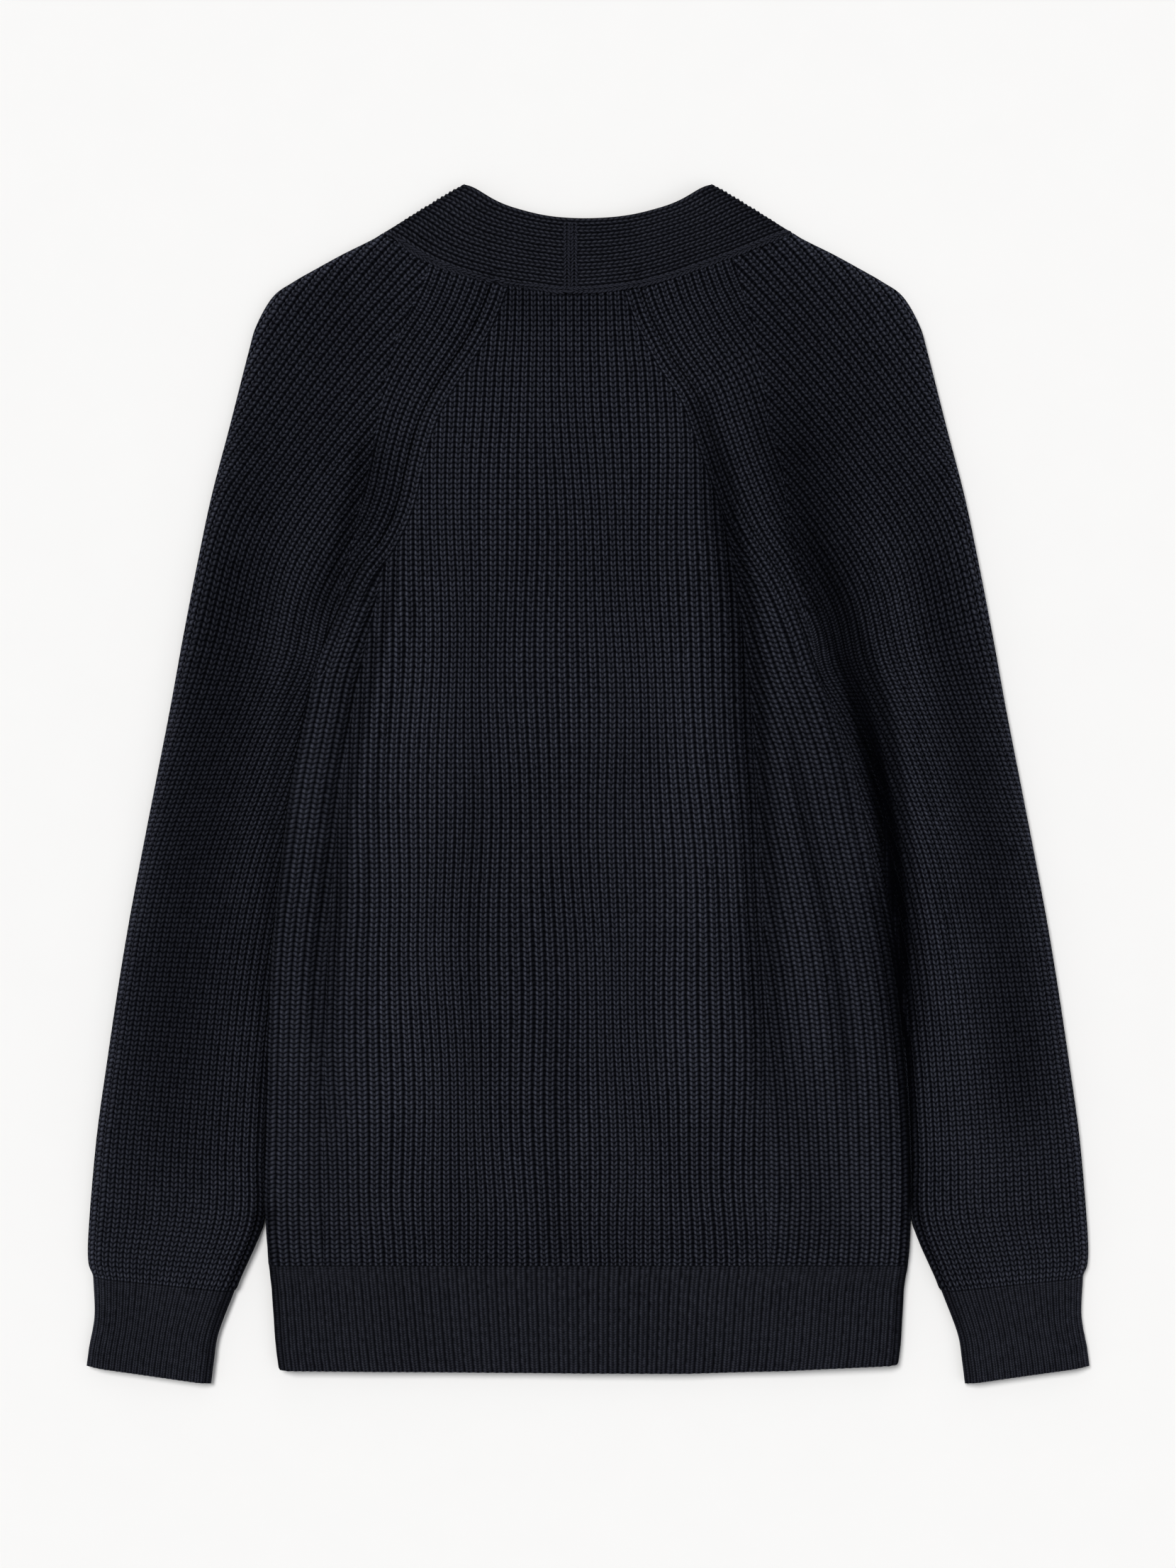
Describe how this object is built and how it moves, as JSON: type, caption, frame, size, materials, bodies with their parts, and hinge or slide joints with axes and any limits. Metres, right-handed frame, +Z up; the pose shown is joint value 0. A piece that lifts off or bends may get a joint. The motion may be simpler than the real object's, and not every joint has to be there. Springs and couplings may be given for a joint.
{
  "type": "cardigan",
  "caption": "Raglan cardigan in chunky ribbed knit, buttoned and laid flat face down, with ribbed hem, cuffs and neckband.",
  "frame": {"origin": "on the surface that the garment lies on, under the middle of its outline", "axes": "+Y from the hem to the neck, +Z up out of the surface, through the front and then the back; +X to the wearer's right"},
  "size_m": [0.608, 0.7272, 0.0249],
  "materials": {
    "navy_knit": "navy half-cardigan knit in thick matt wool yarn",
    "navy_rib": "navy 1x1 rib in the same yarn",
    "navy_button": "dark navy, slightly glossy"
  },
  "bodies": {
    "root": {"back": "navy_knit", "front_left": "navy_knit", "front_right": "navy_knit", "sleeve_left": "navy_knit", "sleeve_right": "navy_knit", "sleeve_under_left": "navy_knit", "sleeve_under_right": "navy_knit", "back_hem": "navy_rib", "front_hem_left": "navy_rib", "front_hem_right": "navy_rib", "cuff_left": "navy_rib", "cuff_right": "navy_rib", "band_left": "navy_rib", "band_right": "navy_rib", "button_1": "navy_button", "button_2": "navy_button", "button_3": "navy_button", "button_4": "navy_button", "button_5": "navy_button"}
  },
  "joints": []
}
